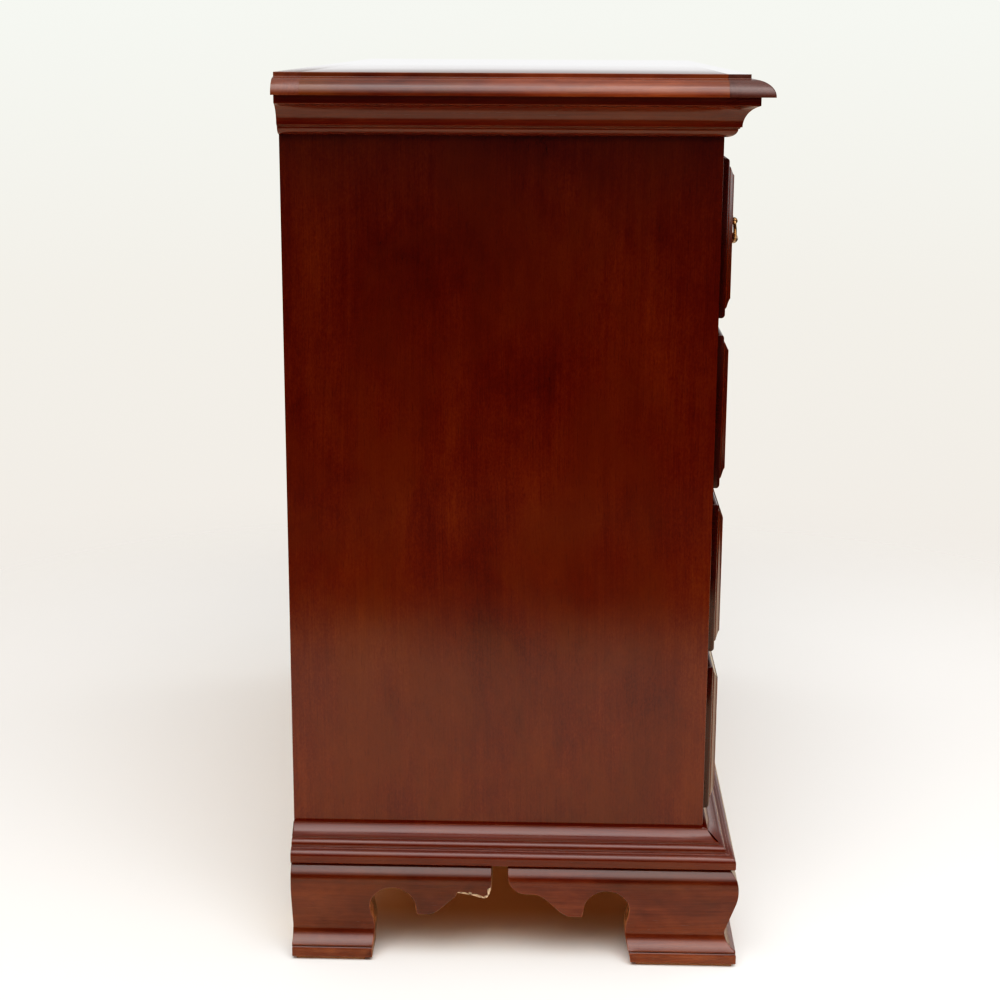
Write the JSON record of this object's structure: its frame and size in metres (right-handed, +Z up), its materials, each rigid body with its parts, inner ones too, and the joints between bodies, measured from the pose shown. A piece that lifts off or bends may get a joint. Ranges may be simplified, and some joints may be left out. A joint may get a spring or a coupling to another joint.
{
  "type": "chest of drawers",
  "caption": "Chest of drawers with moulded top, cove cornice, lipped raised drawer fronts on slides with swinging brass bail handles, moulded base and ogee bracket feet.",
  "frame": {"origin": "on the floor, under the middle of the overall box", "axes": "+Z up; +X to the right as seen from the front; the drawers open towards -Y"},
  "size_m": [0.988, 0.476, 0.916],
  "materials": {
    "mahogany": "glossy red-brown lacquered mahogany",
    "mahogany_edge": "glossy lacquered mahogany, greyer brown",
    "secondary_wood": "bare planed pale wood",
    "plywood": "bare thin plywood",
    "aged_brass": "antique brass, darkened in the hollows"
  },
  "bodies": {
    "carcass": {"top_board": "mahogany", "top_front_strip": "mahogany_edge", "top_back_strip": "mahogany_edge", "cornice_front": "mahogany", "cornice_left": "mahogany", "cornice_right": "mahogany", "side_panel_left": "mahogany", "side_panel_right": "mahogany", "back_panel": "plywood", "bottom_board": "secondary_wood", "top_rail": "mahogany", "front_rails": "mahogany", "divider": "mahogany", "drawer_runners": "secondary_wood", "base_moulding_front": "mahogany", "base_moulding_left": "mahogany", "base_moulding_right": "mahogany", "foot_front_left_side": "mahogany", "foot_front_left_face": "mahogany", "foot_front_right_side": "mahogany", "foot_front_right_face": "mahogany", "foot_back_left": "mahogany", "foot_back_right": "mahogany", "foot_blocks": "secondary_wood", "foot_soles": "secondary_wood"},
    "drawer_1": {"drawer_1_front": "mahogany", "drawer_1_sides": "secondary_wood", "drawer_1_back": "secondary_wood", "drawer_1_bottom": "plywood", "drawer_1_posts": "aged_brass"},
    "drawer_1_bail_left": {"drawer_1_bail_left": "aged_brass"},
    "drawer_1_bail_right": {"drawer_1_bail_right": "aged_brass"},
    "drawer_2": {"drawer_2_front": "mahogany", "drawer_2_sides": "secondary_wood", "drawer_2_back": "secondary_wood", "drawer_2_bottom": "plywood", "drawer_2_posts": "aged_brass"},
    "drawer_2_bail_left": {"drawer_2_bail_left": "aged_brass"},
    "drawer_2_bail_right": {"drawer_2_bail_right": "aged_brass"},
    "drawer_3": {"drawer_3_front": "mahogany", "drawer_3_sides": "secondary_wood", "drawer_3_back": "secondary_wood", "drawer_3_bottom": "plywood", "drawer_3_posts": "aged_brass"},
    "drawer_3_bail_left": {"drawer_3_bail_left": "aged_brass"},
    "drawer_3_bail_right": {"drawer_3_bail_right": "aged_brass"},
    "drawer_4": {"drawer_4_front": "mahogany", "drawer_4_sides": "secondary_wood", "drawer_4_back": "secondary_wood", "drawer_4_bottom": "plywood", "drawer_4_posts": "aged_brass"},
    "drawer_4_bail_left": {"drawer_4_bail_left": "aged_brass"},
    "drawer_4_bail_right": {"drawer_4_bail_right": "aged_brass"},
    "drawer_5": {"drawer_5_front": "mahogany", "drawer_5_sides": "secondary_wood", "drawer_5_back": "secondary_wood", "drawer_5_bottom": "plywood", "drawer_5_posts": "aged_brass"},
    "drawer_5_bail_left": {"drawer_5_bail_left": "aged_brass"},
    "drawer_5_bail_right": {"drawer_5_bail_right": "aged_brass"}
  },
  "joints": [
    {"name": "drawer_1_slide", "type": "slide", "parent": "carcass", "child": "drawer_1", "axis": [0, -1, 0], "range_m": [0, 0.3]},
    {"name": "drawer_1_bail_left_swing", "type": "hinge", "parent": "drawer_1", "child": "drawer_1_bail_left", "pos_m": [-0.33063, -0.2143, 0.76745], "axis": [-1, 0, 0], "range_deg": [-5, 100]},
    {"name": "drawer_1_bail_right_swing", "type": "hinge", "parent": "drawer_1", "child": "drawer_1_bail_right", "pos_m": [-0.11588, -0.2143, 0.76745], "axis": [-1, 0, 0], "range_deg": [-5, 100]},
    {"name": "drawer_2_slide", "type": "slide", "parent": "carcass", "child": "drawer_2", "axis": [0, -1, 0], "range_m": [0, 0.3]},
    {"name": "drawer_2_bail_left_swing", "type": "hinge", "parent": "drawer_2", "child": "drawer_2_bail_left", "pos_m": [0.11588, -0.2143, 0.76745], "axis": [-1, 0, 0], "range_deg": [-5, 100]},
    {"name": "drawer_2_bail_right_swing", "type": "hinge", "parent": "drawer_2", "child": "drawer_2_bail_right", "pos_m": [0.33063, -0.2143, 0.76745], "axis": [-1, 0, 0], "range_deg": [-5, 100]},
    {"name": "drawer_3_slide", "type": "slide", "parent": "carcass", "child": "drawer_3", "axis": [0, -1, 0], "range_m": [0, 0.3]},
    {"name": "drawer_3_bail_left_swing", "type": "hinge", "parent": "drawer_3", "child": "drawer_3_bail_left", "pos_m": [-0.219, -0.2143, 0.59425], "axis": [-1, 0, 0], "range_deg": [-5, 100]},
    {"name": "drawer_3_bail_right_swing", "type": "hinge", "parent": "drawer_3", "child": "drawer_3_bail_right", "pos_m": [0.219, -0.2143, 0.59425], "axis": [-1, 0, 0], "range_deg": [-5, 100]},
    {"name": "drawer_4_slide", "type": "slide", "parent": "carcass", "child": "drawer_4", "axis": [0, -1, 0], "range_m": [0, 0.3]},
    {"name": "drawer_4_bail_left_swing", "type": "hinge", "parent": "drawer_4", "child": "drawer_4_bail_left", "pos_m": [-0.219, -0.2143, 0.42105], "axis": [-1, 0, 0], "range_deg": [-5, 100]},
    {"name": "drawer_4_bail_right_swing", "type": "hinge", "parent": "drawer_4", "child": "drawer_4_bail_right", "pos_m": [0.219, -0.2143, 0.42105], "axis": [-1, 0, 0], "range_deg": [-5, 100]},
    {"name": "drawer_5_slide", "type": "slide", "parent": "carcass", "child": "drawer_5", "axis": [0, -1, 0], "range_m": [0, 0.3]},
    {"name": "drawer_5_bail_left_swing", "type": "hinge", "parent": "drawer_5", "child": "drawer_5_bail_left", "pos_m": [-0.219, -0.2143, 0.24785], "axis": [-1, 0, 0], "range_deg": [-5, 100]},
    {"name": "drawer_5_bail_right_swing", "type": "hinge", "parent": "drawer_5", "child": "drawer_5_bail_right", "pos_m": [0.219, -0.2143, 0.24785], "axis": [-1, 0, 0], "range_deg": [-5, 100]}
  ]
}
